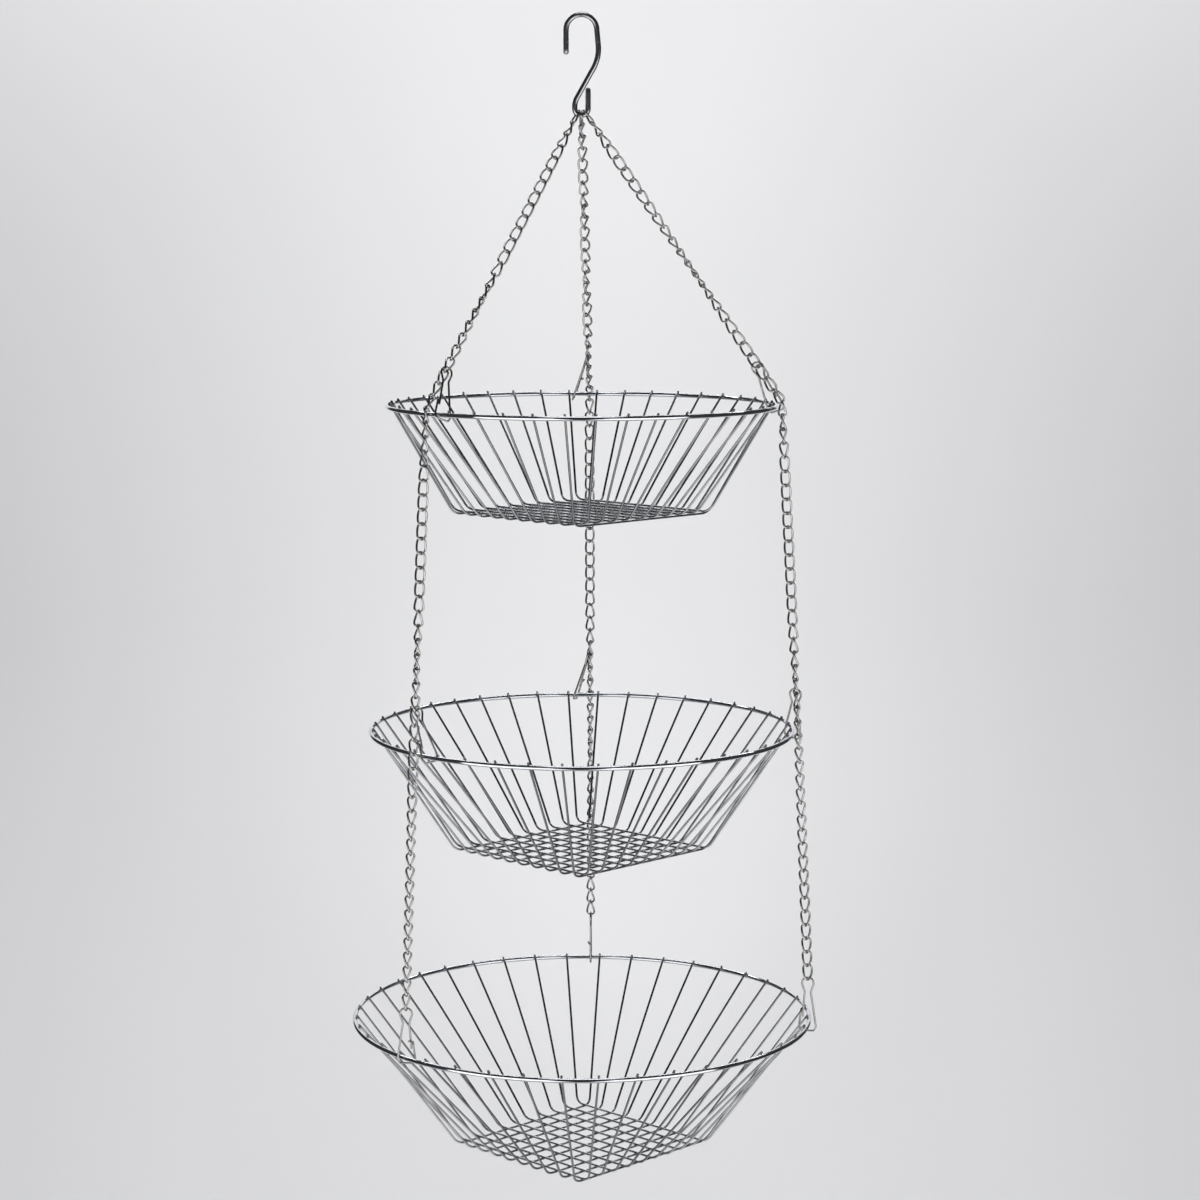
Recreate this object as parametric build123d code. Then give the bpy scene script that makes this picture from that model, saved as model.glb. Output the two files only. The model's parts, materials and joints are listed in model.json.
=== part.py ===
from build123d import *
import math
import os

# Three-tier hanging basket. Millimetres, +Z up.
# The origin is the hook seat: the inside top of the S-hook's upper bend, where it hangs on its support.
# The front is -Y, and one corner of each basket's square floor points to the front.

# S-hook: one wire bent in the XZ plane
HOOK_WIRE = 3.5
HOOK_TIP_REACH = 9.9
HOOK_TIP_DROP = 22.0
HOOK_CROWN_REACH = 9.1
HOOK_CROWN_RADIUS = 9.8
HOOK_SHOULDER_REACH = 11.6
HOOK_SHOULDER_DROP = 25.5
HOOK_SHOULDER_RADIUS = 25.0
HOOK_NECK_RISE = 4.2
HOOK_NECK_RADIUS = 12.0
HOOK_EYE_RADIUS = 4.3
HOOK_EYE_DROP = 62.2
HOOK_EYE_LEG = 16.0

# Chains: oval links, the same along the whole hanger
LINK_WIRE = 1.4
LINK_WIDTH = 7.0
LINK_PITCH = 9.1
LINK_PLAY = 0.12
CHAIN_BEND_SNUG = 0.2
UPPER_LINKS = 25
MIDDLE_LINKS = 24
LOWER_LINKS = 18
LINKS_CLIP_TO_RIM = 3
CHAIN_RIM_GAP = 0.6
LINK_LEAN_ANGLE = 45.0

# Clips: one bent wire each, a narrow head and a wide foot that the rim lies in
CLIP_WIRE = 1.3
CLIP_HEIGHT = 33.0
CLIP_HEAD_HALF = 3.8
CLIP_SHOULDER_DROP = 4.6
CLIP_WAIST_HALF = 2.0
CLIP_WAIST_DROP = 9.8
CLIP_FOOT_HALF = 5.6
CLIP_ARM_LIFT = 6.5
CLIP_CATCH_LIFT = 9.5
CLIP_CATCH_TURN = 2.2
CLIP_HEAD_PLAY = 0.8
CLIP_RIM_PLAY = 0.85
CLIP_CATCH_PLAY = 0.3
CLIP_SIDESTEP = 9.8
CLIP_WAIST_RADIUS = 4.0
CLIP_SHOULDER_RADIUS = 2.5
CLIP_LEG_RADIUS = 3.0
CLIP_CATCH_RADIUS = 1.1

# A bend this much under a half circle keeps a short straight in it
BEND_EASE = 0.12

# Baskets: rim ring, and two crossing sets of floor wires that rise to it
TOP_RADIUS = 127.0
MIDDLE_RADIUS = 139.7
BOTTOM_RADIUS = 152.4
TOP_DEPTH = 69.5
MIDDLE_DEPTH = 80.0
BOTTOM_DEPTH = 87.5
RIM_WIRE = 3.0
MESH_WIRE = 1.5
MESH_PITCH = 12.5
MESH_COUNT = 10
MESH_MARGIN = 6.0
MESH_BEND_RADIUS = 9.0
MESH_TIP = 1.6
WELD_GAP = 0.05

# Where the three chains stand: counted in wire gaps from the back corner of the floor, anticlockwise
SIDES = {"back": 0, "left": 15, "right": 29}

# Each chain stands this many degrees short of its gap's middle, which leaves the gap to the clip beside it
CHAIN_ASIDE_ANGLE = 2.0

# Where each chain's first link lies in the hook's eye, in degrees round the eye from its lowest point
HOOK_SEAT_ANGLES = {"back": 0.0, "left": -38.5, "right": 41.5}

# How far each clip is turned on its rim, in degrees
LEANING_CLIP_ANGLE = -15.0
BOTTOM_CLIP_ANGLES = {"back": 180.0, "left": 135.0, "right": 180.0}

# How far each chain twists on its way to the bottom clip, in degrees, so that its last link stands across the clip
LOWER_TWIST_ANGLES = {"back": 45.0, "left": 90.0, "right": 45.0}

# Angles in degrees: a quarter turn, and the way that each floor's back corner points, round the axis from +X
QUARTER_TURN = 90.0
BACK_CORNER_ANGLE = 90.0

# Sizes that follow
HALF_TURN = 2 * QUARTER_TURN
GAP_ANGLE = QUARTER_TURN / MESH_COUNT
LINK_HALF_WIDTH = (LINK_WIDTH - LINK_WIRE) / 2
LINK_CENTRE_LENGTH = LINK_PITCH + LINK_WIRE + LINK_PLAY
CHAIN_LEAN_HALF = LINK_HALF_WIDTH * math.cos(math.radians(LINK_LEAN_ANGLE)) + LINK_WIRE / 2
CHAIN_OFFSET = RIM_WIRE / 2 + CHAIN_LEAN_HALF + CHAIN_RIM_GAP
HEAD_ABOVE_JOINT = (LINK_WIRE + LINK_PLAY) / 2 + (LINK_WIRE + CLIP_WIRE) / 2 + CLIP_HEAD_PLAY
CLIP_FOOT_DROP = (RIM_WIRE + CLIP_WIRE) / 2 + CLIP_RIM_PLAY
UP = Vector(0, 0, 1)


def polar(radius, angle, height):
    """Point at a radius and an angle in degrees round the axis."""
    a = math.radians(angle)
    return Vector(radius * math.cos(a), radius * math.sin(a), height)


def along(frame, x, y, z):
    """Point or direction given in a frame of three unit vectors."""
    return frame[0] * x + frame[1] * y + frame[2] * z


def tube(points, radii, diameter):
    """Round wire bent at each inner point, with one bend radius for each."""
    edges = []
    start = points[0]
    for before, corner, after, radius in zip(points, points[1:], points[2:], radii):
        way_in = (corner - before).normalized()
        way_out = (after - corner).normalized()
        half_turn = math.acos(max(-1.0, min(1.0, way_in.dot(way_out)))) / 2
        setback = radius * math.tan(half_turn)
        inward = (way_out - way_in).normalized()
        centre = corner + inward * (radius / math.cos(half_turn))
        bend_start = corner - way_in * setback
        bend_end = corner + way_out * setback
        edges.append(Edge.make_line(start, bend_start))
        edges.append(Edge.make_three_point_arc(bend_start, centre - inward * radius, bend_end))
        start = bend_end
    edges.append(Edge.make_line(start, points[-1]))
    path = Wire(edges)
    first = (points[1] - points[0]).normalized()
    section = Plane(origin=points[0], z_dir=first) * Circle(diameter / 2)
    return sweep(section, path=path).solid()


# S-hook

def hook_eye_centre():
    return Vector(0, 0, HOOK_EYE_RADIUS - HOOK_EYE_DROP)


def make_hook():
    crown = HOOK_WIRE / 2
    eye = hook_eye_centre()
    base = eye.Z - HOOK_EYE_RADIUS
    points = [
        Vector(-HOOK_TIP_REACH, 0, -HOOK_TIP_DROP),
        Vector(-HOOK_TIP_REACH, 0, crown),
        Vector(HOOK_CROWN_REACH, 0, crown),
        Vector(HOOK_SHOULDER_REACH, 0, -HOOK_SHOULDER_DROP),
        Vector(-HOOK_EYE_RADIUS, 0, eye.Z + HOOK_NECK_RISE),
        Vector(-HOOK_EYE_RADIUS, 0, base),
        Vector(HOOK_EYE_RADIUS, 0, base),
        Vector(HOOK_EYE_RADIUS, 0, base + HOOK_EYE_LEG),
    ]
    eye_bend = HOOK_EYE_RADIUS - BEND_EASE
    radii = [
        HOOK_CROWN_RADIUS, HOOK_CROWN_RADIUS, HOOK_SHOULDER_RADIUS, HOOK_NECK_RADIUS,
        eye_bend, eye_bend,
    ]
    return tube(points, radii, HOOK_WIRE)


# Chains

def make_link():
    """One oval link: long side on Z, opening seen along Y."""
    straight = LINK_CENTRE_LENGTH - 2 * LINK_HALF_WIDTH
    half_ring = Torus(LINK_HALF_WIDTH, LINK_WIRE / 2, major_angle=HALF_TURN, align=None)
    top = Pos(0, 0, straight / 2) * Rot(QUARTER_TURN, 0, 0) * half_ring
    bottom = Rot(HALF_TURN, 0, 0) * top
    rod = Cylinder(LINK_WIRE / 2, straight)
    left = Pos(-LINK_HALF_WIDTH, 0, 0) * rod
    right = Pos(LINK_HALF_WIDTH, 0, 0) * rod
    return (top + left + right + bottom).solid()


def stretch_frame(start, end, angle):
    """Tangent, outward and upward directions of a straight stretch of chain."""
    up = (start - end).normalized()
    sideways = polar(1, angle + QUARTER_TURN, 0)
    tangent = (sideways - up * sideways.dot(up)).normalized()
    outward = tangent.cross(up)
    return tangent, outward, up


def place_link(link, centre, frame, turn):
    """Put a link at a point of its stretch, turned about the chain from facing along the rim."""
    a = math.radians(turn)
    facing = frame[0] * math.cos(a) + frame[1] * math.sin(a)
    across = facing.cross(frame[2])
    return Plane(origin=centre, x_dir=across, z_dir=frame[2]).location * link


def chain_stretch(link, start, end, angle, count, first_turn, last_turn, untwisted):
    """Links from one joint to another, each a quarter turn on from the one above.

    The stretch also twists from its first turn to its last, all but a few untwisted links at its end.
    """
    frame = stretch_frame(start, end, angle)
    step = (end - start) * (1 / count)
    twisting = count - untwisted - 1
    links = []
    for i in range(count):
        twist = first_turn + (last_turn - first_turn) * min(i, twisting) / twisting
        links.append(place_link(link, start + step * (i + 0.5), frame, twist + QUARTER_TURN * i))
    return links


def near_half(turn, target):
    """The angle nearest to turn that differs from target by whole half turns."""
    return target + HALF_TURN * round((turn - target) / HALF_TURN)


# Route of each chain: hook, past the top rim, past the middle rim, down to the bottom clip

def side_angle(side):
    return BACK_CORNER_ANGLE + SIDES[side] * GAP_ANGLE - CHAIN_ASIDE_ANGLE


def hook_contact(side):
    """Centre of the hook's wire where a chain's first link hangs."""
    a = math.radians(HOOK_SEAT_ANGLES[side])
    return hook_eye_centre() + Vector(math.sin(a), 0, -math.cos(a)) * HOOK_EYE_RADIUS


def first_joint(side, towards):
    """Start of a chain, above the hook's wire by the link's own wire."""
    contact = hook_contact(side)
    down = (towards - contact).normalized()
    return contact - down * (HOOK_WIRE / 2 + LINK_PLAY / 2)


def drop(length, run):
    """Height that a straight stretch of a given length falls over a horizontal run."""
    return math.sqrt(length ** 2 - run ** 2)


BACK_START = hook_contact("back").Z
TOP_BEND_RADIUS = TOP_RADIUS + CHAIN_OFFSET
MIDDLE_BEND_RADIUS = MIDDLE_RADIUS + CHAIN_OFFSET
TOP_BEND_Z = BACK_START - drop(UPPER_LINKS * LINK_PITCH - HOOK_WIRE / 2, TOP_BEND_RADIUS)
MIDDLE_BEND_Z = TOP_BEND_Z - drop(MIDDLE_LINKS * LINK_PITCH, MIDDLE_BEND_RADIUS - TOP_BEND_RADIUS)
LOWER_END_Z = MIDDLE_BEND_Z - drop(LOWER_LINKS * LINK_PITCH, BOTTOM_RADIUS - MIDDLE_BEND_RADIUS)


def route(side):
    """The four joints between a chain's straight stretches."""
    angle = side_angle(side)
    top_bend = polar(TOP_BEND_RADIUS, angle, TOP_BEND_Z)
    middle_bend = polar(MIDDLE_BEND_RADIUS, angle, MIDDLE_BEND_Z)
    lower_end = polar(BOTTOM_RADIUS, angle, LOWER_END_Z)
    return first_joint(side, top_bend), top_bend, middle_bend, lower_end


def head_seat(start, end):
    """Centre of a clip's head wire, lying in a link of the chain that runs past the rim."""
    up = (start - end).normalized()
    return end + up * (LINKS_CLIP_TO_RIM * LINK_PITCH + HEAD_ABOVE_JOINT)


def rim_height(head, radius):
    """Height of a rim that hangs a clip's height under its head, stepped aside by the clip's lean."""
    level = math.hypot(head.X, head.Y) - radius
    return head.Z - math.sqrt(CLIP_HEIGHT ** 2 - level ** 2 - CLIP_SIDESTEP ** 2)


BACK_ROUTE = route("back")
TOP_RIM_Z = rim_height(head_seat(BACK_ROUTE[0], BACK_ROUTE[1]), TOP_RADIUS)
MIDDLE_RIM_Z = rim_height(head_seat(BACK_ROUTE[1], BACK_ROUTE[2]), MIDDLE_RADIUS)
BOTTOM_RIM_Z = LOWER_END_Z + (CLIP_WIRE + LINK_PLAY) / 2 - CLIP_HEIGHT


# Clips

def make_clip(seat, head, tangent, turn):
    """One clip, from the middle of the rim's wire to the middle of its own head wire."""
    up = (head - seat).normalized()
    level = (tangent - up * tangent.dot(up)).normalized()
    outward = level.cross(up)
    a = math.radians(turn)
    wide = outward * math.cos(a) + level * math.sin(a)
    thick = wide.cross(up)
    frame = (wide, thick, up)
    side_by_side = CLIP_WIRE + CLIP_CATCH_PLAY
    top = CLIP_HEIGHT
    waist = top - CLIP_WAIST_DROP
    shoulder = top - CLIP_SHOULDER_DROP
    slope = (CLIP_FOOT_HALF - CLIP_WAIST_HALF) / waist
    arm_foot = CLIP_FOOT_HALF - slope * CLIP_ARM_LIFT - CLIP_WIRE
    arm_catch = CLIP_FOOT_HALF - slope * CLIP_CATCH_LIFT - CLIP_WIRE
    shape = [
        (arm_foot, 0, CLIP_ARM_LIFT),
        (CLIP_WAIST_HALF, 0, waist),
        (CLIP_HEAD_HALF, 0, shoulder),
        (CLIP_HEAD_HALF, 0, top),
        (-CLIP_HEAD_HALF, 0, top),
        (-CLIP_HEAD_HALF, 0, shoulder),
        (-CLIP_WAIST_HALF, 0, waist),
        (-CLIP_FOOT_HALF, 0, 0),
        (-CLIP_FOOT_HALF + CLIP_WIRE, 0, -CLIP_FOOT_DROP),
        (CLIP_FOOT_HALF - CLIP_WIRE, 0, -CLIP_FOOT_DROP),
        (CLIP_FOOT_HALF, 0, 0),
        (arm_catch + side_by_side, 0, CLIP_CATCH_LIFT),
        (arm_catch + side_by_side, side_by_side, CLIP_CATCH_LIFT + CLIP_CATCH_TURN),
        (arm_catch - CLIP_WIRE, side_by_side, CLIP_CATCH_LIFT + CLIP_CATCH_TURN),
    ]
    head_bend = CLIP_HEAD_HALF - BEND_EASE
    radii = [
        CLIP_WAIST_RADIUS, CLIP_SHOULDER_RADIUS, head_bend, head_bend, CLIP_SHOULDER_RADIUS,
        CLIP_WAIST_RADIUS, CLIP_LEG_RADIUS, CLIP_WIRE, CLIP_WIRE, CLIP_LEG_RADIUS,
        CLIP_CATCH_RADIUS, CLIP_CATCH_RADIUS,
    ]
    return tube([seat + along(frame, *p) for p in shape], radii, CLIP_WIRE)


def leaning_clip(side, radius, rim_z, start, end):
    """Clip of a tier that the chain runs past: its foot stands beside the chain on the rim."""
    angle = side_angle(side) + math.degrees(CLIP_SIDESTEP / radius)
    seat = polar(radius, angle, rim_z)
    return make_clip(seat, head_seat(start, end), polar(1, angle + QUARTER_TURN, 0), LEANING_CLIP_ANGLE)


def hanging_clip(side):
    """Clip of the bottom basket, right under the end of its chain."""
    seat = polar(BOTTOM_RADIUS, side_angle(side), BOTTOM_RIM_Z)
    tangent = polar(1, side_angle(side) + QUARTER_TURN, 0)
    return make_clip(seat, seat + UP * CLIP_HEIGHT, tangent, BOTTOM_CLIP_ANGLES[side])


# Baskets

def arm_end(bend, radius, angle, rim_z):
    """End of a wire that rises from its floor bend and lies against the inside of the rim."""
    rim_point = polar(radius, angle, rim_z)
    tangent = polar(1, angle + QUARTER_TURN, 0)
    reach = (RIM_WIRE + MESH_WIRE) / 2 + WELD_GAP
    aim = rim_point
    for _ in range(3):
        way = (aim - bend).normalized()
        aim = rim_point + way.cross(tangent).normalized() * reach
    return aim + way * MESH_TIP


def mesh_wires(radius, rim_z, depth, run_angle, level):
    """One set of parallel floor wires, bent up at both edges and fanned out to the rim."""
    floor_z = rim_z - depth - level * (MESH_WIRE + WELD_GAP)
    edge = (MESH_COUNT - 1) / 2 * MESH_PITCH + MESH_MARGIN
    run = polar(1, run_angle, 0)
    aside = polar(1, run_angle + QUARTER_TURN, 0)
    wires = []
    for i in range(MESH_COUNT):
        place = i - (MESH_COUNT - 1) / 2
        shift = aside * (place * MESH_PITCH) + UP * floor_z
        far = shift + run * edge
        near = shift - run * edge
        far_end = arm_end(far, radius, run_angle + place * GAP_ANGLE, rim_z)
        near_end = arm_end(near, radius, run_angle + HALF_TURN - place * GAP_ANGLE, rim_z)
        wires.append(tube([near_end, near, far, far_end], [MESH_BEND_RADIUS] * 2, MESH_WIRE))
    return wires


def make_rim(radius, rim_z):
    return [Pos(0, 0, rim_z) * Torus(radius, RIM_WIRE / 2)]


# Every piece, by name

def build():
    nodes = {"s_hook": [make_hook()]}
    link = make_link()
    for side in SIDES:
        angle = side_angle(side)
        start, top_bend, middle_bend, lower_end = route(side)
        frame = stretch_frame(start, top_bend, angle)
        seat_turn = math.radians(HOOK_SEAT_ANGLES[side])
        hook_way = Vector(math.cos(seat_turn), 0, math.sin(seat_turn))
        first_turn = math.degrees(math.atan2(hook_way.dot(frame[1]), hook_way.dot(frame[0])))
        upper_turns = QUARTER_TURN * UPPER_LINKS
        middle_turn = near_half(first_turn + upper_turns, -LINK_LEAN_ANGLE)
        nodes["upper_chain_" + side] = chain_stretch(
            link, start, top_bend, angle, UPPER_LINKS, first_turn, middle_turn - upper_turns,
            LINKS_CLIP_TO_RIM)
        nodes["middle_chain_" + side] = chain_stretch(
            link, top_bend + UP * CHAIN_BEND_SNUG, middle_bend, angle, MIDDLE_LINKS, middle_turn,
            middle_turn, LINKS_CLIP_TO_RIM)
        lower_turn = middle_turn + QUARTER_TURN * MIDDLE_LINKS
        lower = chain_stretch(
            link, middle_bend, lower_end, angle, LOWER_LINKS, lower_turn,
            lower_turn + LOWER_TWIST_ANGLES[side], 0)
        nodes["turning_link_" + side] = lower[:1]
        nodes["lower_chain_" + side] = lower[1:]
        nodes["top_clip_" + side] = [leaning_clip(side, TOP_RADIUS, TOP_RIM_Z, start, top_bend)]
        nodes["middle_clip_" + side] = [
            leaning_clip(side, MIDDLE_RADIUS, MIDDLE_RIM_Z, top_bend, middle_bend)]
        nodes["bottom_clip_" + side] = [hanging_clip(side)]
    tiers = {
        "top": (TOP_RADIUS, TOP_RIM_Z, TOP_DEPTH),
        "middle": (MIDDLE_RADIUS, MIDDLE_RIM_Z, MIDDLE_DEPTH),
        "bottom": (BOTTOM_RADIUS, BOTTOM_RIM_Z, BOTTOM_DEPTH),
    }
    for tier, (radius, rim_z, depth) in tiers.items():
        nodes[tier + "_rim"] = make_rim(radius, rim_z)
        nodes[tier + "_wires_upper"] = mesh_wires(radius, rim_z, depth, BACK_CORNER_ANGLE - 1.5 * QUARTER_TURN, 0)
        nodes[tier + "_wires_lower"] = mesh_wires(radius, rim_z, depth, BACK_CORNER_ANGLE - 0.5 * QUARTER_TURN, 1)
    return nodes


os.makedirs("parts", exist_ok=True)
for name, solids in build().items():
    export_step(Compound(children=solids) if len(solids) > 1 else solids[0], "parts/" + name + ".step")
print("eye centre", hook_eye_centre())
print("rim heights", TOP_RIM_Z, MIDDLE_RIM_Z, BOTTOM_RIM_Z)
for side in SIDES:
    print("route", side, [tuple(round(v, 3) for v in p) for p in route(side)])
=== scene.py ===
import bpy
import json
import math
import numpy as np
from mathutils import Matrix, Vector


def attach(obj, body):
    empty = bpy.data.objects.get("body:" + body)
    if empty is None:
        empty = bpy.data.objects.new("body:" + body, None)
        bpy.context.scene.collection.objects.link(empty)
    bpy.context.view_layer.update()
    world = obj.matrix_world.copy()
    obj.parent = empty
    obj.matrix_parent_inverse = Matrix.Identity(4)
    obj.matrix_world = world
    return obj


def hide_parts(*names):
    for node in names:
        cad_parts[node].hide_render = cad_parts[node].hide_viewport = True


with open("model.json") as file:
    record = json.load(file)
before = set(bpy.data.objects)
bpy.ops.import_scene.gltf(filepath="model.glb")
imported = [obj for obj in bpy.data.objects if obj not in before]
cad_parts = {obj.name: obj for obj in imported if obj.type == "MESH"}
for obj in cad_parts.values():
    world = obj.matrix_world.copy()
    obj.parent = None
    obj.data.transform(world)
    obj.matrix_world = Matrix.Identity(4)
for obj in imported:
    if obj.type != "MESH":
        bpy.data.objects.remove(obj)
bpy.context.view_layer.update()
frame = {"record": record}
bodies_of = frame["record"]["behaviour"]["bodies"]
body_by_node = {node: body for body, nodes in bodies_of.items() for node in nodes}

# Sizes in millimetres and angles in degrees, as in the CAD source
HOOK_WIRE, HOOK_TIP_REACH, HOOK_TIP_DROP = 3.5, 9.9, 22.0
HOOK_CROWN_REACH, HOOK_CROWN_RADIUS = 9.1, 9.8
HOOK_SHOULDER_REACH, HOOK_SHOULDER_DROP, HOOK_SHOULDER_RADIUS = 11.6, 25.5, 25.0
HOOK_NECK_RISE, HOOK_NECK_RADIUS = 4.2, 12.0
HOOK_EYE_RADIUS, HOOK_EYE_DROP, HOOK_EYE_LEG = 4.3, 62.2, 16.0
LINK_WIRE, LINK_WIDTH, LINK_PITCH, LINK_PLAY = 1.4, 7.0, 9.1, 0.12
CHAIN_BEND_SNUG = 0.2
UPPER_LINKS, MIDDLE_LINKS, LOWER_LINKS = 25, 24, 18
LINKS_CLIP_TO_RIM, CHAIN_RIM_GAP, LINK_LEAN = 3, 0.6, 45.0
CLIP_WIRE, CLIP_HEIGHT, CLIP_HEAD_HALF = 1.3, 33.0, 3.8
CLIP_SHOULDER_DROP, CLIP_WAIST_HALF, CLIP_WAIST_DROP = 4.6, 2.0, 9.8
CLIP_FOOT_HALF, CLIP_ARM_LIFT, CLIP_CATCH_LIFT, CLIP_CATCH_TURN = 5.6, 6.5, 9.5, 2.2
CLIP_HEAD_PLAY, CLIP_RIM_PLAY, CLIP_CATCH_PLAY, CLIP_SIDESTEP = 0.8, 0.85, 0.3, 9.8
CLIP_WAIST_RADIUS, CLIP_SHOULDER_RADIUS, CLIP_LEG_RADIUS, CLIP_CATCH_RADIUS = 4.0, 2.5, 3.0, 1.1
BEND_EASE = 0.12
TOP_RADIUS, MIDDLE_RADIUS, BOTTOM_RADIUS = 127.0, 139.7, 152.4
TOP_DEPTH, MIDDLE_DEPTH, BOTTOM_DEPTH = 69.5, 80.0, 87.5
RIM_WIRE, MESH_WIRE, MESH_PITCH, MESH_COUNT = 3.0, 1.5, 12.5, 10
MESH_MARGIN, MESH_BEND_RADIUS, MESH_TIP, WELD_GAP = 6.0, 9.0, 1.6, 0.05
SIDE_ANGLES = {"back": 88.0, "left": 223.0, "right": 349.0}
HOOK_SEATS = {"back": 0.0, "left": -38.5, "right": 41.5}
LEANING_CLIP_TURN = -15.0
BOTTOM_CLIP_TURNS = {"back": 180.0, "left": 135.0, "right": 180.0}
GAP_ANGLE = 9.0
BACK_CORNER = 90.0

# How finely the visual wires are divided: corners around each wire, and points or steps along it
HOOK_SIDES, RIM_SIDES, CLIP_SIDES, LINK_SIDES, MESH_SIDES = 32, 32, 14, 12, 12
HOOK_STEP, CLIP_STEP, MESH_STEP = 0.6, 0.35, 1.0
RIM_POINTS, LINK_POINTS = 360, 40
STRAIGHT_STEPS, LEAST_ARC_POINTS = 4, 4
END_RINGS = np.radians([84.0, 60.0, 30.0])
CUT_BULGE = 0.35
METRE = 0.001

# Weld lumps: sizes along the mesh wire, across it and towards the rim, and their parts of the maps
WELD_SIZES, WELD_INSET, WELD_TONE = (1.25, 0.75, 0.42), 0.52, 0.35
WELD_ROWS, WELD_SIDES, WELD_CAP, WELD_SPAN = 7, 12, 0.04, 0.92
WELD_MAP_LENGTH, WELD_MAP_WIDTH = 2, 4.0

# How the wires stray from their places, and how their surfaces differ
STRAY_PLACE, STRAY_EDGE, STRAY_FAN, STRAY_TIP, STRAY_BEND = 0.12, 0.25, 0.1, 0.15, 0.5
MIDDLE_TONE, LINK_TONES, MESH_TONES = 0.5, (0.2, 0.8), (0.3, 0.7)
CHAIN_SEED, BASKET_SEED = 7, 11


# Camera at the photograph's angle: its place in metres, and its dip below level in degrees

CAMERA_PLACE, CAMERA_DIP = (0.012, -1.897, -0.1275), 7.53
CAMERA_LENS, CAMERA_SENSOR = 86.9, 36.0
CAMERA_NEAR, CAMERA_FAR = 0.05, 50.0


def make_camera():
    data = bpy.data.cameras.new("photo_camera")
    cam = bpy.data.objects.new("photo_camera", data)
    bpy.context.scene.collection.objects.link(cam)
    data.sensor_width = CAMERA_SENSOR
    data.lens = CAMERA_LENS
    data.clip_start = CAMERA_NEAR
    data.clip_end = CAMERA_FAR
    cam.location = CAMERA_PLACE
    cam.rotation_euler = (math.radians(90.0 - CAMERA_DIP), 0.0, 0.0)
    bpy.context.scene.camera = cam
    bpy.context.scene.view_settings.view_transform = "Standard"


# Vectors and wires

def vec(x, y, z):
    return np.array([x, y, z], float)


def unit(v):
    return v / np.linalg.norm(v)


def polar(radius, angle, height):
    a = math.radians(angle)
    return vec(radius * math.cos(a), radius * math.sin(a), height)


UP = vec(0, 0, 1)


def straight(start, end, step):
    length = np.linalg.norm(end - start)
    count = max(1, int(math.ceil(length / step)))
    return [start + (end - start) * k / count for k in range(count + 1)]


def bent_path(points, radii, step):
    """Line through the points with an arc at each inner point, as closely spaced as step."""
    long_step = step * STRAIGHT_STEPS
    path = [points[0]]
    for before, corner, after, radius in zip(points, points[1:], points[2:], radii):
        way_in = unit(corner - before)
        way_out = unit(after - corner)
        along = unit(way_in + way_out)
        half_turn = math.acos(max(-1.0, min(1.0, float(way_in @ way_out)))) / 2
        inward = unit(way_out - way_in)
        centre = corner + inward * (radius / math.cos(half_turn))
        arc_in = corner - way_in * radius * math.tan(half_turn)
        count = max(LEAST_ARC_POINTS, int(math.ceil(2 * half_turn * radius / step)))
        path += straight(path[-1], arc_in, long_step)[1:]
        for k in range(1, count + 1):
            a = -half_turn + 2 * half_turn * k / count
            path.append(centre - inward * radius * math.cos(a) + along * radius * math.sin(a))
    path += straight(path[-1], points[-1], long_step)[1:]
    return np.array(path)


def carried_frames(path, closed):
    """Tangents and two cross directions along a path, carried along without twist."""
    if closed:
        tangents = np.roll(path, -1, 0) - np.roll(path, 1, 0)
    else:
        tangents = np.gradient(path, axis=0)
    tangents /= np.linalg.norm(tangents, axis=1)[:, None]
    seed = UP if abs(tangents[0] @ UP) < 0.9 else vec(1, 0, 0)
    side = unit(np.cross(tangents[0], seed))
    sides = [side]
    for t in tangents[1:]:
        side = unit(side - t * (side @ t))
        sides.append(side)
    sides = np.array(sides)
    if closed:
        end = unit(sides[-1] - tangents[0] * (sides[-1] @ tangents[0]))
        slip = math.atan2(np.cross(sides[0], end) @ tangents[0], sides[0] @ end)
        turns = -slip * np.arange(len(path)) / len(path)
        other = np.cross(tangents, sides)
        sides = sides * np.cos(turns)[:, None] + other * np.sin(turns)[:, None]
    return tangents, sides, np.cross(tangents, sides)


def rounded_ends(path, directions, radius, lengths, bulge):
    """Adds shrinking rings at both ends, so that the wire ends round or nearly flat."""
    ends = []
    for end, way, order in ((0, -1.0, 1), (-1, 1.0, -1)):
        reach = np.sin(END_RINGS) * radius[end] * bulge * way
        places = path[end] + np.outer(reach, directions[0][end])
        sizes = np.cos(END_RINGS) * radius[end]
        ends.append([part[::order] for part in (places, sizes, lengths[end] + reach)])
    path, radius, lengths = [
        np.concatenate([first, middle, last])
        for first, middle, last in zip(ends[0], (path, radius, lengths), ends[1])]
    rows = len(END_RINGS)
    directions = [
        np.concatenate([np.repeat(part[:1], rows, 0), part, np.repeat(part[-1:], rows, 0)])
        for part in directions]
    return path, directions, radius, lengths


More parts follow.
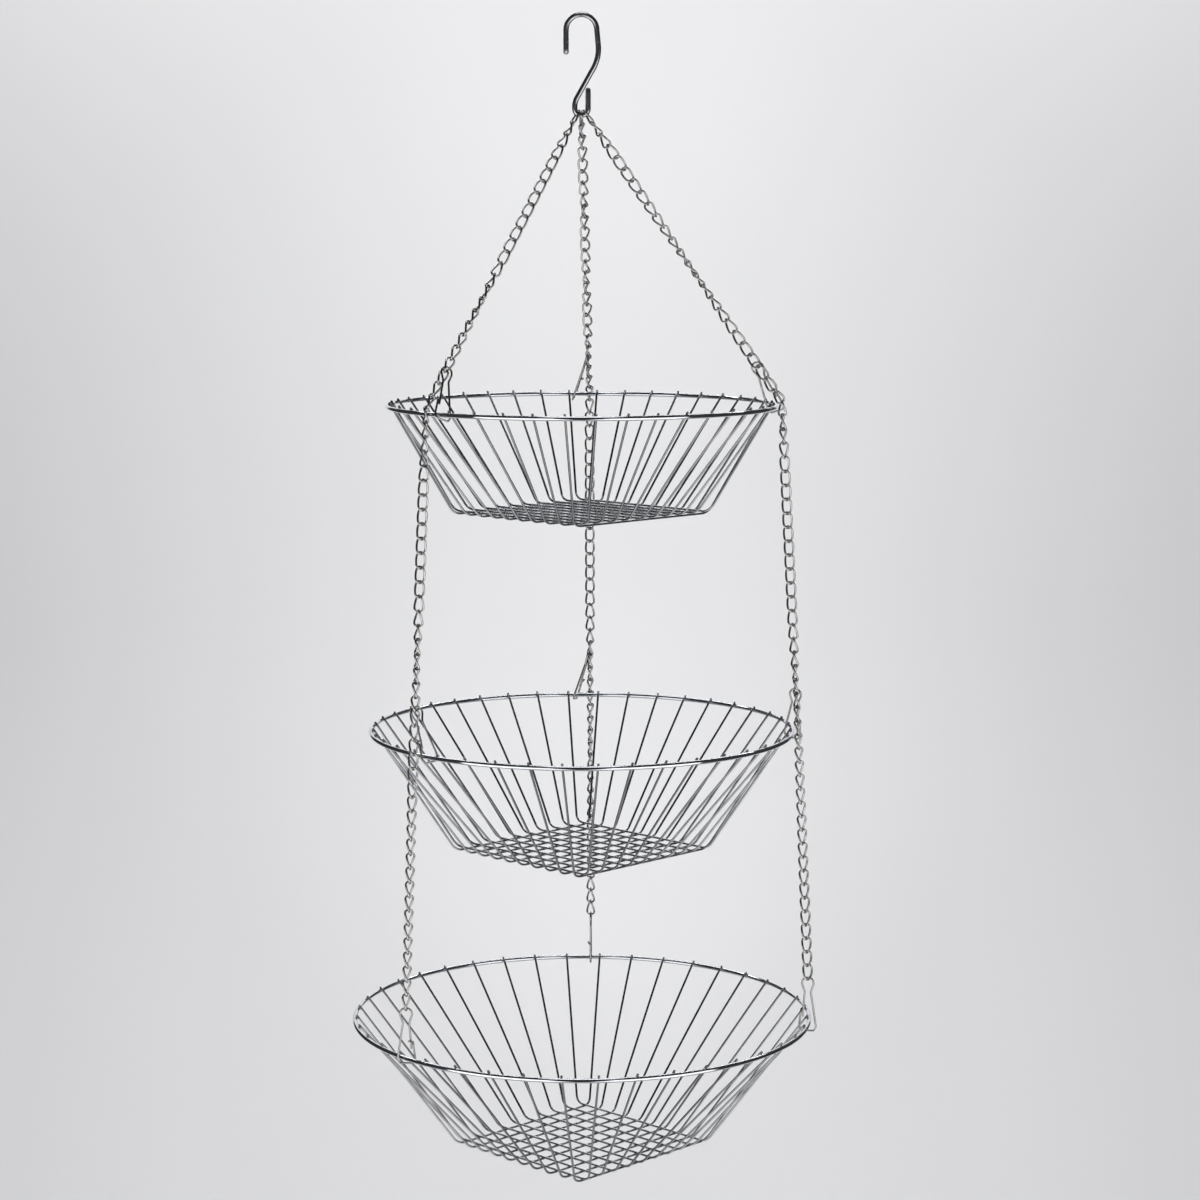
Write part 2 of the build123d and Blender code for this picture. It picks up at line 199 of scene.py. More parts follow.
class Metalwork:
    """Collects the wires of one piece into one mesh, with a length map along each wire."""

    def __init__(self):
        self.points = []
        self.faces = []
        self.maps = []
        self.tones = []
        self.total = 0

    def add_rings(self, rings, lengths, closed, tone, around):
        count, sides = rings.shape[:2]
        base = self.total
        self.points.append(rings.reshape(-1, 3))
        self.total += count * sides
        for i in range(count if closed else count - 1):
            this_ring = base + i * sides
            next_ring = base + (i + 1) % count * sides
            u0 = lengths[i]
            u1 = lengths[i + 1]
            for j in range(sides):
                m = (j + 1) % sides
                self.faces.append((this_ring + j, this_ring + m, next_ring + m, next_ring + j))
                v0 = around * j / sides
                v1 = around * (j + 1) / sides
                self.maps.append(((u0, v0), (u0, v1), (u1, v1), (u1, v0)))
                self.tones.append(tone)

    def wire(self, path, diameter, sides, closed=False, tone=MIDDLE_TONE, swell=1.0, cut=False):
        """Round wire along a path; swell scales its thickness point by point."""
        path = np.asarray(path, float)
        directions = carried_frames(path, closed)
        radius = np.full(len(path), diameter / 2) * swell
        steps = np.linalg.norm(np.diff(path, axis=0), axis=1)
        lengths = np.concatenate([[0.0], np.cumsum(steps)])
        if closed:
            lengths = np.append(lengths, lengths[-1] + np.linalg.norm(path[0] - path[-1]))
        else:
            path, directions, radius, lengths = rounded_ends(
                path, directions, radius, lengths, CUT_BULGE if cut else 1.0)
        _, across, other = directions
        a = np.linspace(0, 2 * math.pi, sides, endpoint=False)
        rings = path[:, None] + radius[:, None, None] * (
            across[:, None] * np.cos(a)[None, :, None] + other[:, None] * np.sin(a)[None, :, None])
        self.add_rings(rings, lengths, closed, tone, math.pi * diameter)

    def weld(self, centre, axes):
        """Small rounded lump of weld metal."""
        a = np.linspace(0, 2 * math.pi, WELD_SIDES, endpoint=False)
        rings = []
        for i in range(WELD_ROWS):
            b = math.pi * (WELD_CAP + WELD_SPAN * i / (WELD_ROWS - 1))
            rings.append(centre + axes[0] * (WELD_SIZES[0] * math.cos(b))
                         + axes[1] * (WELD_SIZES[1] * math.sin(b) * np.cos(a))[:, None]
                         + axes[2] * (WELD_SIZES[2] * math.sin(b) * np.sin(a))[:, None])
        lengths = np.linspace(0, WELD_MAP_LENGTH, WELD_ROWS)
        self.add_rings(np.array(rings), lengths, False, WELD_TONE, WELD_MAP_WIDTH)

    def make(self, node, slot, material):
        """Makes the object that stands for a CAD node and moves with its body."""
        mesh = bpy.data.meshes.new(node + "_looks")
        points = np.concatenate(self.points) * METRE
        mesh.from_pydata([tuple(p) for p in points], [], self.faces)
        layer = mesh.uv_layers.new(name="wire_map")
        layer.data.foreach_set("uv", np.array(self.maps, np.float32).ravel())
        tone = mesh.attributes.new("tone", "FLOAT", "FACE")
        tone.data.foreach_set("value", np.array(self.tones, np.float32))
        mesh.polygons.foreach_set("use_smooth", [True] * len(mesh.polygons))
        mesh.materials.append(material)
        mesh.update()
        obj = bpy.data.objects.new(node + "_looks", mesh)
        bpy.context.scene.collection.objects.link(obj)
        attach(obj, body_by_node[node])
        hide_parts(node)


# Route of each chain

LINK_HALF_WIDTH = (LINK_WIDTH - LINK_WIRE) / 2
LINK_HALF_LENGTH = (LINK_PITCH + LINK_WIRE + LINK_PLAY) / 2
CHAIN_LEAN_HALF = LINK_HALF_WIDTH * math.cos(math.radians(LINK_LEAN)) + LINK_WIRE / 2
CHAIN_OFFSET = RIM_WIRE / 2 + CHAIN_LEAN_HALF + CHAIN_RIM_GAP
HEAD_ABOVE_JOINT = (LINK_WIRE + LINK_PLAY) / 2 + (LINK_WIRE + CLIP_WIRE) / 2 + CLIP_HEAD_PLAY
EYE = vec(0, 0, HOOK_EYE_RADIUS - HOOK_EYE_DROP)


def hook_contact(side):
    a = math.radians(HOOK_SEATS[side])
    return EYE + vec(math.sin(a), 0, -math.cos(a)) * HOOK_EYE_RADIUS


def drop(length, run):
    return math.sqrt(length ** 2 - run ** 2)


TOP_BEND_RADIUS = TOP_RADIUS + CHAIN_OFFSET
MIDDLE_BEND_RADIUS = MIDDLE_RADIUS + CHAIN_OFFSET
UPPER_LENGTH = UPPER_LINKS * LINK_PITCH - HOOK_WIRE / 2
MIDDLE_LENGTH = MIDDLE_LINKS * LINK_PITCH
LOWER_LENGTH = LOWER_LINKS * LINK_PITCH
TOP_BEND_Z = hook_contact("back")[2] - drop(UPPER_LENGTH, TOP_BEND_RADIUS)
MIDDLE_BEND_Z = TOP_BEND_Z - drop(MIDDLE_LENGTH, MIDDLE_BEND_RADIUS - TOP_BEND_RADIUS)
LOWER_END_Z = MIDDLE_BEND_Z - drop(LOWER_LENGTH, BOTTOM_RADIUS - MIDDLE_BEND_RADIUS)


def route(side):
    """Start of a chain at the hook, its bends at the top and middle rims, and its lower end."""
    angle = SIDE_ANGLES[side]
    top_bend = polar(TOP_BEND_RADIUS, angle, TOP_BEND_Z)
    middle_bend = polar(MIDDLE_BEND_RADIUS, angle, MIDDLE_BEND_Z)
    lower_end = polar(BOTTOM_RADIUS, angle, LOWER_END_Z)
    contact = hook_contact(side)
    start = contact - unit(top_bend - contact) * (HOOK_WIRE / 2 + LINK_PLAY / 2)
    return start, top_bend, middle_bend, lower_end


def head_seat(start, end):
    return end + unit(start - end) * (LINKS_CLIP_TO_RIM * LINK_PITCH + HEAD_ABOVE_JOINT)


def rim_height(head, radius):
    level = math.hypot(head[0], head[1]) - radius
    return head[2] - math.sqrt(CLIP_HEIGHT ** 2 - level ** 2 - CLIP_SIDESTEP ** 2)


BACK_ROUTE = route("back")
TOP_RIM_Z = rim_height(head_seat(BACK_ROUTE[0], BACK_ROUTE[1]), TOP_RADIUS)
MIDDLE_RIM_Z = rim_height(head_seat(BACK_ROUTE[1], BACK_ROUTE[2]), MIDDLE_RADIUS)
BOTTOM_RIM_Z = LOWER_END_Z + (CLIP_WIRE + LINK_PLAY) / 2 - CLIP_HEIGHT


def stretch_frame(start, end, angle):
    """Directions of a stretch of chain: level along the rim, outwards, and up the chain."""
    up = unit(start - end)
    sideways = polar(1, angle + 90, 0)
    tangent = unit(sideways - up * (sideways @ up))
    return tangent, np.cross(tangent, up), up


# Links: each a wire oval, twisted so that the chain lies flat. The links in the hook's eye are
# twisted less, so that the three hang side by side.

LINK_TWIST = 90.0
EYE_LINK_TWIST = 30.0

# How each whole chain turns on its way down: (link, counted from the hook, and its mean turn)
CHAIN_TURNS = {
    "back": [
        (0, 168), (1, 182), (2, 197), (4.6, 268), (8, 358), (10.7, 448), (14.7, 538), (17.7, 628),
        (20, 704), (21, 712), (22, 722), (23, 720), (30, 808), (39, 808), (43, 848), (45, 888),
        (46, 900), (47, 898), (49, 923), (54, 888), (66, 855)],
    "left": [
        (0, 108), (1, 112), (2, 86), (4, 43), (12, 43), (14.7, 125), (16, 133), (20, 168),
        (21, 172), (22, 182), (23, 160), (24, 140), (25, 126), (27, 106), (30.5, 43), (37, 43),
        (41, 128), (43.5, 140), (45, 168), (46, 180), (47, 178), (49, 203), (54, 166), (66, 160)],
    "right": [
        (0, 66), (1, 70), (4, -13), (14, -101), (20, -180), (21, -188), (22, -178), (23, -168),
        (24, -150), (25, -134), (29, -22), (30, -11), (38.7, -11), (44, 79), (45, 78), (46, 72),
        (47, 92), (50, 115), (66, 158)],
}

# Thickness of a link's wire from point to point, with a nick low on one side where its ends meet
LINK_SWELL = np.ones(LINK_POINTS)
LINK_SWELL[:3] = 0.97, 0.9, 0.97


def link_path(centre, directions, top_turn, bottom_turn):
    """Middle line of one link: a long oval with its ends turned differently about the chain."""
    level, outward, up = directions
    half = LINK_HALF_WIDTH
    straight_half = LINK_HALF_LENGTH - half
    arc = math.pi * half
    whole = 2 * arc + 4 * straight_half
    path = []
    for k in range(LINK_POINTS):
        s = whole * k / LINK_POINTS
        if s < 2 * straight_half:
            x, z = half, -straight_half + s
        elif s < 2 * straight_half + arc:
            a = (s - 2 * straight_half) / half
            x, z = half * math.cos(a), straight_half + half * math.sin(a)
        elif s < 4 * straight_half + arc:
            x, z = -half, straight_half - (s - 2 * straight_half - arc)
        else:
            a = (s - 4 * straight_half - arc) / half
            x, z = -half * math.cos(a), -straight_half - half * math.sin(a)
        share = 0.5 + 0.5 * z / LINK_HALF_LENGTH
        turn = math.radians(bottom_turn + (top_turn - bottom_turn) * share)
        across = np.cross(level * math.cos(turn) + outward * math.sin(turn), up)
        path.append(centre + across * x + up * z)
    return np.array(path)


def chain_links(side):
    """Every link of one chain from the hook down: (piece that it belongs to, path)."""
    start, top_bend, middle_bend, lower_end = route(side)
    stretches = [
        ("upper_chain", start, top_bend, UPPER_LINKS),
        ("middle_chain", top_bend + UP * CHAIN_BEND_SNUG, middle_bend, MIDDLE_LINKS),
        ("lower_chain", middle_bend, lower_end, LOWER_LINKS),
    ]
    numbers, turns = zip(*CHAIN_TURNS[side])
    links = []
    for stretch, a, b, count in stretches:
        directions = stretch_frame(a, b, SIDE_ANGLES[side])
        for i in range(count):
            piece = "turning_link" if stretch == "lower_chain" and i == 0 else stretch
            mean = np.interp(len(links), numbers, turns)
            twist = LINK_TWIST if links else EYE_LINK_TWIST
            centre = a + (b - a) * ((i + 0.5) / count)
            path = link_path(centre, directions, mean + twist / 2, mean - twist / 2)
            links.append((piece, path))
    return links


# Clips

def clip_path(seat, head, tangent, turn):
    """Middle line of a clip from its free end over the head and round the rim to its catch."""
    up = unit(head - seat)
    level = unit(tangent - up * (tangent @ up))
    outward = np.cross(level, up)
    a = math.radians(turn)
    wide = outward * math.cos(a) + level * math.sin(a)
    thick = np.cross(wide, up)
    side_by_side = CLIP_WIRE + CLIP_CATCH_PLAY
    foot_drop = (RIM_WIRE + CLIP_WIRE) / 2 + CLIP_RIM_PLAY
    top = CLIP_HEIGHT
    waist = top - CLIP_WAIST_DROP
    shoulder = top - CLIP_SHOULDER_DROP
    slope = (CLIP_FOOT_HALF - CLIP_WAIST_HALF) / waist
    arm_foot = CLIP_FOOT_HALF - slope * CLIP_ARM_LIFT - CLIP_WIRE
    arm_catch = CLIP_FOOT_HALF - slope * CLIP_CATCH_LIFT - CLIP_WIRE
    catch_top = CLIP_CATCH_LIFT + CLIP_CATCH_TURN
    head_bend = CLIP_HEAD_HALF - BEND_EASE
    shape = [
        (arm_foot, 0, CLIP_ARM_LIFT),
        (CLIP_WAIST_HALF, 0, waist), (CLIP_HEAD_HALF, 0, shoulder), (CLIP_HEAD_HALF, 0, top),
        (-CLIP_HEAD_HALF, 0, top), (-CLIP_HEAD_HALF, 0, shoulder), (-CLIP_WAIST_HALF, 0, waist),
        (-CLIP_FOOT_HALF, 0, 0), (-CLIP_FOOT_HALF + CLIP_WIRE, 0, -foot_drop),
        (CLIP_FOOT_HALF - CLIP_WIRE, 0, -foot_drop), (CLIP_FOOT_HALF, 0, 0),
        (arm_catch + side_by_side, 0, CLIP_CATCH_LIFT),
        (arm_catch + side_by_side, side_by_side, catch_top),
        (arm_catch - CLIP_WIRE, side_by_side, catch_top),
    ]
    radii = [
        CLIP_WAIST_RADIUS, CLIP_SHOULDER_RADIUS, head_bend,
        head_bend, CLIP_SHOULDER_RADIUS, CLIP_WAIST_RADIUS,
        CLIP_LEG_RADIUS, CLIP_WIRE, CLIP_WIRE, CLIP_LEG_RADIUS,
        CLIP_CATCH_RADIUS, CLIP_CATCH_RADIUS,
    ]
    points = [seat + wide * x + thick * y + up * z for x, y, z in shape]
    return bent_path(points, radii, CLIP_STEP)


def tier_clip(side, tier):
    angle = SIDE_ANGLES[side]
    start, top_bend, middle_bend, _ = route(side)
    if tier == "bottom":
        seat = polar(BOTTOM_RADIUS, angle, BOTTOM_RIM_Z)
        head = seat + UP * CLIP_HEIGHT
        return clip_path(seat, head, polar(1, angle + 90, 0), BOTTOM_CLIP_TURNS[side])
    radius, rim_z, a, b = {
        "top": (TOP_RADIUS, TOP_RIM_Z, start, top_bend),
        "middle": (MIDDLE_RADIUS, MIDDLE_RIM_Z, top_bend, middle_bend),
    }[tier]
    angle += math.degrees(CLIP_SIDESTEP / radius)
    seat = polar(radius, angle, rim_z)
    return clip_path(seat, head_seat(a, b), polar(1, angle + 90, 0), LEANING_CLIP_TURN)


# Hook

def hook_path():
    crown = HOOK_WIRE / 2
    base = -HOOK_EYE_DROP
    points = [
        vec(-HOOK_TIP_REACH, 0, -HOOK_TIP_DROP),
        vec(-HOOK_TIP_REACH, 0, crown),
        vec(HOOK_CROWN_REACH, 0, crown),
        vec(HOOK_SHOULDER_REACH, 0, -HOOK_SHOULDER_DROP),
        vec(-HOOK_EYE_RADIUS, 0, EYE[2] + HOOK_NECK_RISE),
        vec(-HOOK_EYE_RADIUS, 0, base),
        vec(HOOK_EYE_RADIUS, 0, base),
        vec(HOOK_EYE_RADIUS, 0, base + HOOK_EYE_LEG),
    ]
    eye_bend = HOOK_EYE_RADIUS - BEND_EASE
    radii = [
        HOOK_CROWN_RADIUS, HOOK_CROWN_RADIUS, HOOK_SHOULDER_RADIUS,
        HOOK_NECK_RADIUS, eye_bend, eye_bend,
    ]
    return bent_path(points, radii, HOOK_STEP)


# Basket wires

def arm_end(bend, radius, angle, rim_z):
    """End of a wire against the inside of the rim, its direction, and the way to the rim."""
    rim_point = polar(radius, angle, rim_z)
    tangent = polar(1, angle + 90, 0)
    reach = (RIM_WIRE + MESH_WIRE) / 2 + WELD_GAP
    aim = rim_point
    for _ in range(3):  # the wire's direction and its end depend on each other
        way = unit(aim - bend)
        inner = unit(np.cross(way, tangent))
        aim = rim_point + inner * reach
    return aim, way, inner


def basket_wires(metal, radius, rim_z, depth, run_angle, level, rng):
    """One way of a basket's floor wires, bent up at the floor's edges and welded to the rim."""
    floor_z = rim_z - depth - level * (MESH_WIRE + WELD_GAP)
    edge = (MESH_COUNT - 1) / 2 * MESH_PITCH + MESH_MARGIN
    run = polar(1, run_angle, 0)
    aside = polar(1, run_angle + 90, 0)
    for i in range(MESH_COUNT):
        place = i - (MESH_COUNT - 1) / 2
        shift = aside * (place * MESH_PITCH + rng.normal(0, STRAY_PLACE)) + UP * floor_z
        far = shift + run * (edge + rng.normal(0, STRAY_EDGE))
        near = shift - run * (edge + rng.normal(0, STRAY_EDGE))
        far_angle = run_angle + place * GAP_ANGLE + rng.normal(0, STRAY_FAN)
        near_angle = run_angle + 180 - place * GAP_ANGLE + rng.normal(0, STRAY_FAN)
        ends = []
        for bend, angle in ((near, near_angle), (far, far_angle)):
            aim, way, inner = arm_end(bend, radius, angle, rim_z)
            ends.append(aim + way * (MESH_TIP + rng.normal(0, STRAY_TIP)))
            metal.weld(aim - inner * (MESH_WIRE * WELD_INSET), (way, np.cross(way, inner), inner))
        bend_radius = MESH_BEND_RADIUS + rng.normal(0, STRAY_BEND)
        path = bent_path([ends[0], near, far, ends[1]], [bend_radius, bend_radius], MESH_STEP)
        metal.wire(path, MESH_WIRE, MESH_SIDES, tone=rng.uniform(*MESH_TONES), cut=True)


# Materials

MIX_COLOURS, MIX_RESULT = (6, 7), 2  # the colour sockets of a mix node


class Graph:
    """Short way to lay out a material's nodes."""

    def __init__(self, name):
        self.material = bpy.data.materials.new(name)
        self.material.use_nodes = True
        self.tree = self.material.node_tree
        self.tree.nodes.clear()

    def node(self, kind, **values):
        n = self.tree.nodes.new(kind)
        for key, value in values.items():
            if key in n.inputs.keys():
                n.inputs[key].default_value = value
            else:
                setattr(n, key, value)
        return n

    def texture(self, kind, vector, **values):
        n = self.node(kind, **values)
        self.join(vector, n.inputs["Vector"])
        return n

    def join(self, out, into):
        self.tree.links.new(out, into)

    def math(self, kind, a, b, clamp=False):
        n = self.node("ShaderNodeMath", operation=kind, use_clamp=clamp)
        for socket, value in zip(n.inputs, (a, b)):
            if isinstance(value, (int, float)):
                socket.default_value = value
            else:
                self.join(value, socket)
        return n.outputs[0]

    def blend(self, share, a, b):
        n = self.node("ShaderNodeMix", data_type="RGBA")
        self.join(share, n.inputs["Factor"])
        for index, value in zip(MIX_COLOURS, (a, b)):
            if isinstance(value, tuple):
                n.inputs[index].default_value = value + (1.0,)
            else:
                self.join(value, n.inputs[index])
        return n.outputs[MIX_RESULT]

    def fade(self, value, limits):
        """Smooth step from 0 at the first limit to 1 at the second."""
        n = self.node("ShaderNodeMapRange", interpolation_type="SMOOTHSTEP")
        n.inputs["From Min"].default_value, n.inputs["From Max"].default_value = limits
        self.join(value, n.inputs["Value"])
        return n.outputs["Result"]

    def finish(self, skin):
        out = self.node("ShaderNodeOutputMaterial")
        self.join(skin.outputs[0], out.inputs["Surface"])
        return self.material


# Marks and painted crease shade on plated wire: noise scales per metre, and the limits between
# which each fades in
PATCH_SCALE, PATCH_FADE = 55.0, (0.46, 0.68)
STREAK_STRETCH = (0.12, 5.0, 1.0)
PIT_SCALE, PIT_FADE = 620.0, (0.30, 0.12)
PIT_GROUP_SCALE, PIT_GROUP_FADE = 180.0, (0.52, 0.66)
# Painted shade: ambient occlusion within this reach darkens creases and the places where wires
# touch towards the dark colour, and roughens them
CREASE_REACH, CREASE_RAYS, CREASE_FADE, CREASE_SHADE_STRENGTH = 0.0022, 6, (0.62, 0.18), 0.8
WAVE_SCALE = 260.0

# How strongly each mark and the painted crease shade tell on colour, roughness and height
TONE_COLOUR = 0.5
PATCH_ROUGH, LINE_ROUGH, CREASE_SHADE_ROUGH, TONE_ROUGH = 0.6, 0.8, 0.25, 0.06
LINE_HEIGHT, WAVE_HEIGHT, PIT_HEIGHT, BUMP_REACH = 0.35, 0.65, 0.8, 0.00006


def plated_wire(name, clean, dull, dirt_and_shade, smooth, rough, streak, tarnish, specks, ripple):
    """Plated metal wire: draw marks along it, tarnish in patches, fine pits, and painted shade
    that darkens the creases.
    """
    g = Graph(name)
    place = g.node("ShaderNodeTexCoord").outputs["Object"]
    lengthwise = g.node("ShaderNodeUVMap", uv_map="wire_map").outputs["UV"]
    tone = g.node("ShaderNodeAttribute", attribute_name="tone").outputs["Fac"]

    patches = g.texture("ShaderNodeTexNoise", place, Scale=PATCH_SCALE, Detail=5.0, Roughness=0.62)
    patch = g.fade(patches.outputs["Fac"], PATCH_FADE)

    stretch = g.texture("ShaderNodeMapping", lengthwise, Scale=STREAK_STRETCH)
    lines = g.texture("ShaderNodeTexNoise", stretch.outputs["Vector"],
                      Scale=1.0, Detail=4.0, Roughness=0.55)
    line = g.math("MULTIPLY", lines.outputs["Fac"], streak)

    pits = g.texture("ShaderNodeTexVoronoi", place, Scale=PIT_SCALE)
    few = g.texture("ShaderNodeTexNoise", place, Scale=PIT_GROUP_SCALE, Detail=2.0)
    pit = g.math("MULTIPLY", g.fade(pits.outputs["Distance"], PIT_FADE),
                 g.fade(few.outputs["Fac"], PIT_GROUP_FADE))
    pit = g.math("MULTIPLY", pit, specks)

    # Painted shade: ambient occlusion darkens the creases where links, clips and wires touch
    crease = g.node("ShaderNodeAmbientOcclusion", samples=CREASE_RAYS, Distance=CREASE_REACH)
    crease_shade = g.math("MULTIPLY", g.fade(crease.outputs["AO"], CREASE_FADE), CREASE_SHADE_STRENGTH)

    above = g.math("SUBTRACT", tone, MIDDLE_TONE)
    colour = g.blend(g.math("MULTIPLY", patch, tarnish), clean, dull)
    colour = g.blend(g.math("MULTIPLY", above, TONE_COLOUR, clamp=True), colour, dull)
    # The dark colour serves both the real pits and the painted shade in creases
    colour = g.blend(g.math("ADD", crease_shade, pit, clamp=True), colour, dirt_and_shade)

    span = rough - smooth
    gloss = g.math("ADD", g.math("MULTIPLY", patch, span * PATCH_ROUGH), smooth)
    gloss = g.math("ADD", gloss, g.math("MULTIPLY", line, span * LINE_ROUGH))
    gloss = g.math("ADD", gloss, g.math("MULTIPLY", crease_shade, CREASE_SHADE_ROUGH))
    gloss = g.math("ADD", gloss, g.math("MULTIPLY", above, TONE_ROUGH), clamp=True)

    wave = g.texture("ShaderNodeTexNoise", place, Scale=WAVE_SCALE, Detail=2.0)
    height = g.math("ADD", g.math("MULTIPLY", line, LINE_HEIGHT),
                    g.math("MULTIPLY", wave.outputs["Fac"], WAVE_HEIGHT))
    height = g.math("SUBTRACT", height, g.math("MULTIPLY", pit, PIT_HEIGHT))
    bump = g.node("ShaderNodeBump", Strength=ripple, Distance=BUMP_REACH)
    g.join(height, bump.inputs["Height"])

    skin = g.node("ShaderNodeBsdfPrincipled", Metallic=1.0)
    g.join(colour, skin.inputs["Base Color"])
    g.join(gloss, skin.inputs["Roughness"])
    g.join(bump.outputs["Normal"], skin.inputs["Normal"])
    return g.finish(skin)


RIM_METAL = plated_wire(
    "rim_chrome", clean=(0.80, 0.82, 0.85), dull=(0.60, 0.63, 0.68), dirt_and_shade=(0.16, 0.16, 0.17),
    smooth=0.05, rough=0.16, streak=0.4, tarnish=0.35, specks=0.25, ripple=0.2)
MESH_METAL = plated_wire(
    "basket_wire_chrome", clean=(0.46, 0.47, 0.49), dull=(0.30, 0.31, 0.32),
    dirt_and_shade=(0.09, 0.09, 0.09), smooth=0.09, rough=0.24, streak=0.7, tarnish=0.5, specks=0.4,
    ripple=0.3)
CHAIN_METAL = plated_wire(
    "chain_nickel", clean=(0.60, 0.59, 0.58), dull=(0.34, 0.33, 0.32), dirt_and_shade=(0.07, 0.06, 0.05),
    smooth=0.07, rough=0.20, streak=0.5, tarnish=0.5, specks=0.35, ripple=0.3)
CLIP_METAL = plated_wire(
    "clip_spring_wire", clean=(0.44, 0.44, 0.44), dull=(0.30, 0.29, 0.28),
    dirt_and_shade=(0.09, 0.09, 0.08), smooth=0.08, rough=0.22, streak=0.8, tarnish=0.4, specks=0.3,
    ripple=0.3)
HOOK_METAL = plated_wire(
    "hook_steel", clean=(0.50, 0.50, 0.51), dull=(0.30, 0.30, 0.30), dirt_and_shade=(0.07, 0.07, 0.07),
    smooth=0.14, rough=0.34, streak=0.8, tarnish=0.6, specks=0.4, ripple=0.4)


# Pieces

def make_hook():
    metal = Metalwork()
    metal.wire(hook_path(), HOOK_WIRE, HOOK_SIDES)
    metal.make("s_hook", "hook_steel", HOOK_METAL)


def make_chains():
    rng = np.random.default_rng(CHAIN_SEED)
    for side in SIDE_ANGLES:
        pieces = {}
        for piece, path in chain_links(side):
            metal = pieces.setdefault(piece, Metalwork())
            metal.wire(path, LINK_WIRE, LINK_SIDES, closed=True, tone=rng.uniform(*LINK_TONES),
                       swell=LINK_SWELL)
        for piece, metal in pieces.items():
            metal.make(piece + "_" + side, "chain_nickel", CHAIN_METAL)


def make_clips():
    for side in SIDE_ANGLES:
        for tier in ("top", "middle", "bottom"):
            metal = Metalwork()
            metal.wire(tier_clip(side, tier), CLIP_WIRE, CLIP_SIDES, cut=True)
            metal.make(tier + "_clip_" + side, "clip_wire", CLIP_METAL)


def make_baskets():
    tiers = {
        "top": (TOP_RADIUS, TOP_RIM_Z, TOP_DEPTH),
        "middle": (MIDDLE_RADIUS, MIDDLE_RIM_Z, MIDDLE_DEPTH),
        "bottom": (BOTTOM_RADIUS, BOTTOM_RIM_Z, BOTTOM_DEPTH),
    }
    rng = np.random.default_rng(BASKET_SEED)
    for tier, (radius, rim_z, depth) in tiers.items():
        rim = Metalwork()
        turns = np.linspace(0, 360, RIM_POINTS, endpoint=False)
        rim.wire([polar(radius, a, rim_z) for a in turns], RIM_WIRE, RIM_SIDES, closed=True)
        rim.make(tier + "_rim", "rim_chrome", RIM_METAL)
        for level, (name, turn) in enumerate((("upper", -135), ("lower", -45))):
            metal = Metalwork()
            basket_wires(metal, radius, rim_z, depth, BACK_CORNER + turn, level, rng)
            metal.make(tier + "_wires_" + name, "basket_wire", MESH_METAL)


# Studio, in metres

PAPER_FLOOR, PAPER_BACK, PAPER_CURVE, PAPER_CURVE_STEPS = -1.9, 3.0, 1.1, 24
PAPER_FRONT, PAPER_TOP, PAPER_HALF_WIDTH = -1.0, 1.4, 1.5
PAPER_COLOUR, PAPER_SHADE, PAPER_ROUGH = (0.80, 0.80, 0.81), 0.99, 0.9
CLOUD_SCALE, CLOUD_FADE = 1.5, (0.3, 0.7)
ROOM_COLOUR = (0.036, 0.037, 0.040, 1.0)
SEEN_COLOUR = (0.70, 0.70, 0.72, 1.0)

# Name, place, target, size, watts and spread in degrees
LIGHTS = [
    ("left_box", (-0.84, -1.07, -0.98), (0, 0, -0.35), (1.4, 1.6), 11, 180),
    ("right_box", (0.84, -1.07, -0.98), (0, 0, -0.35), (1.4, 1.6), 11, 180),
    ("top_box", (0, -0.1, 1.3), (0, 0, -0.4), (0.7, 0.7), 4, 180),
    ("paper_wash", (0, 1.7, 1.4), (0, 3.0, -1.2), (3.6, 0.6), 49, 180),
    ("paper_fill", (0, 1.3, -1.7), (0, 3.0, -0.9), (3.4, 0.5), 15, 180),
    ("paper_glow", (0, 2.1, -1.6), (0, 3.0, -0.7), (0.3, 0.3), 0.45, 80),
    ("paper_glow", (0, 2.1, 0.5), (0, 3.0, -0.7), (0.3, 0.3), 0.45, 80),
]


def paper_material():
    g = Graph("studio_paper")
    place = g.node("ShaderNodeTexCoord").outputs["Object"]
    cloud = g.texture("ShaderNodeTexNoise", place, Scale=CLOUD_SCALE, Detail=3.0)
    shade = tuple(c * PAPER_SHADE for c in PAPER_COLOUR)
    tint = g.blend(g.fade(cloud.outputs["Fac"], CLOUD_FADE), PAPER_COLOUR, shade)
    skin = g.node("ShaderNodeBsdfPrincipled", Roughness=PAPER_ROUGH)
    g.join(tint, skin.inputs["Base Color"])
    return g.finish(skin)


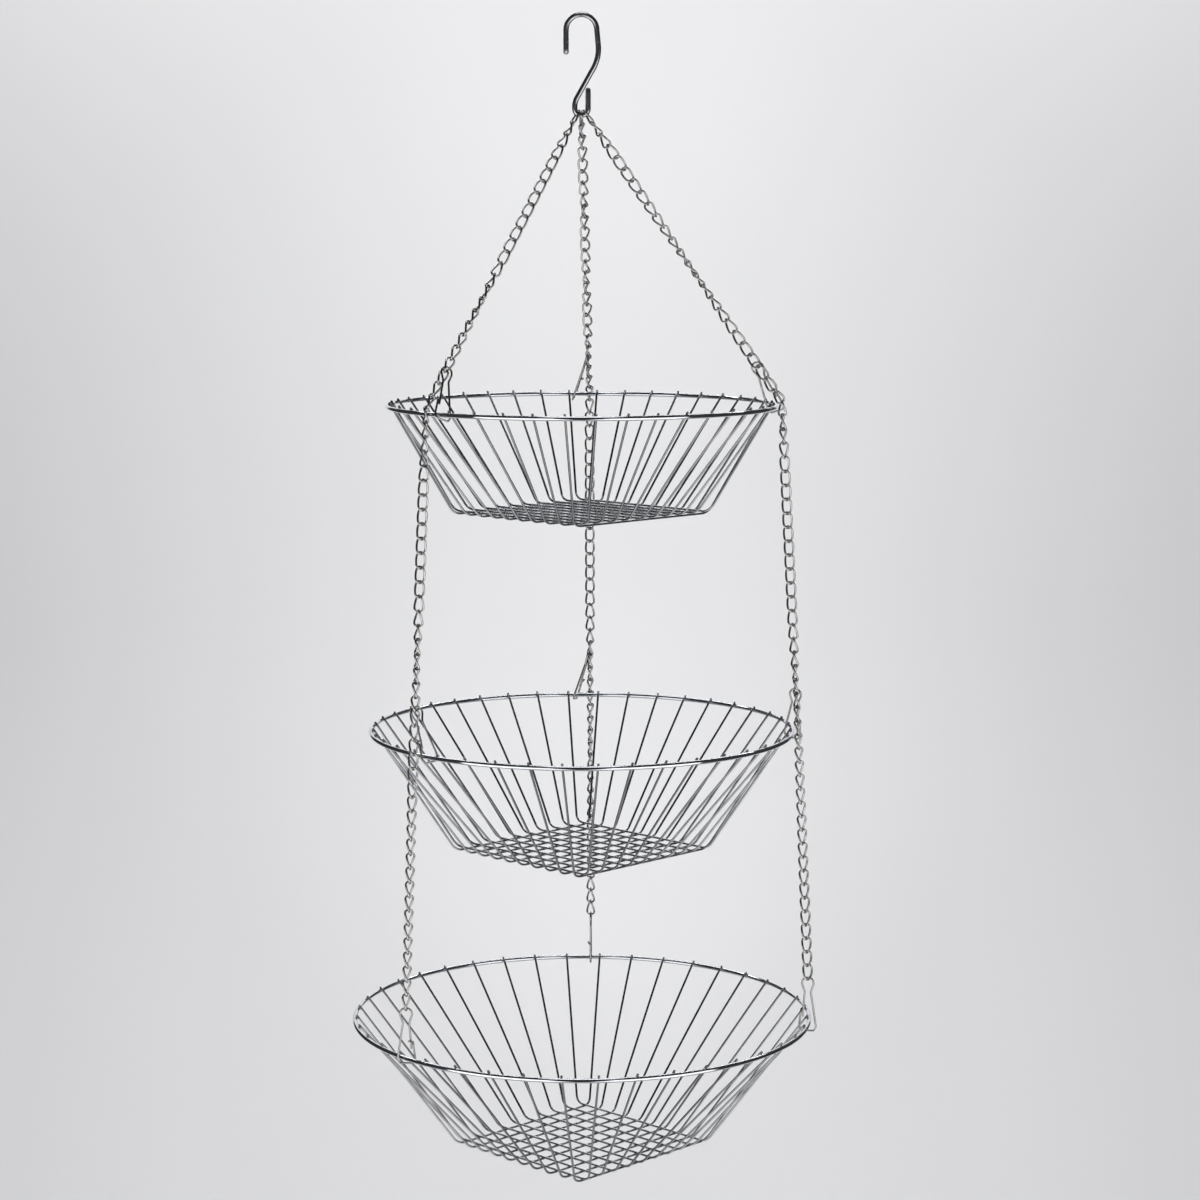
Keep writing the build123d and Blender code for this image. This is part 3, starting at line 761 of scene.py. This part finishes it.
def make_studio():
    """Sheet of paper that lies on the floor and rises behind the object in one curve."""
    curve_start = PAPER_BACK - PAPER_CURVE
    profile = [(PAPER_FRONT, PAPER_FLOOR), (curve_start, PAPER_FLOOR)]
    for k in range(1, PAPER_CURVE_STEPS + 1):
        a = math.radians(90 * k / PAPER_CURVE_STEPS)
        profile.append((curve_start + PAPER_CURVE * math.sin(a),
                        PAPER_FLOOR + PAPER_CURVE - PAPER_CURVE * math.cos(a)))
    profile.append((PAPER_BACK, PAPER_TOP))
    points = [(x, y, z) for x in (-PAPER_HALF_WIDTH, PAPER_HALF_WIDTH) for y, z in profile]
    n = len(profile)
    faces = [(i, i + 1, n + i + 1, n + i) for i in range(n - 1)]
    mesh = bpy.data.meshes.new("studio_floor")
    mesh.from_pydata(points, [], faces)
    mesh.polygons.foreach_set("use_smooth", [True] * len(mesh.polygons))
    mesh.materials.append(paper_material())
    floor = bpy.data.objects.new("studio_floor", mesh)
    bpy.context.scene.collection.objects.link(floor)


def soft_light(name, place, target, size, power, spread):
    data = bpy.data.lights.new(name, "AREA")
    data.shape = "RECTANGLE"
    data.size, data.size_y = size
    data.energy = power
    data.spread = math.radians(spread)
    obj = bpy.data.objects.new(name, data)
    obj.location = place
    obj.rotation_euler = (Vector(target) - Vector(place)).to_track_quat("-Z", "Y").to_euler()
    obj.visible_camera = False
    bpy.context.scene.collection.objects.link(obj)


def make_world():
    """Dim room that the metal mirrors, and a pale one where the camera looks past the paper."""
    world = bpy.data.worlds.new("studio_air")
    bpy.context.scene.world = world
    world.use_nodes = True
    tree = world.node_tree
    tree.nodes.clear()
    seen = tree.nodes.new("ShaderNodeLightPath")
    mix = tree.nodes.new("ShaderNodeMixShader")
    tree.links.new(seen.outputs["Is Camera Ray"], mix.inputs[0])
    for socket, colour in zip(mix.inputs[1:], (ROOM_COLOUR, SEEN_COLOUR)):
        air = tree.nodes.new("ShaderNodeBackground")
        air.inputs["Color"].default_value = colour
        tree.links.new(air.outputs[0], socket)
    out = tree.nodes.new("ShaderNodeOutputWorld")
    tree.links.new(mix.outputs[0], out.inputs["Surface"])


make_camera()
make_hook()
make_chains()
make_clips()
make_baskets()
make_studio()
for light in LIGHTS:
    soft_light(*light)
make_world()
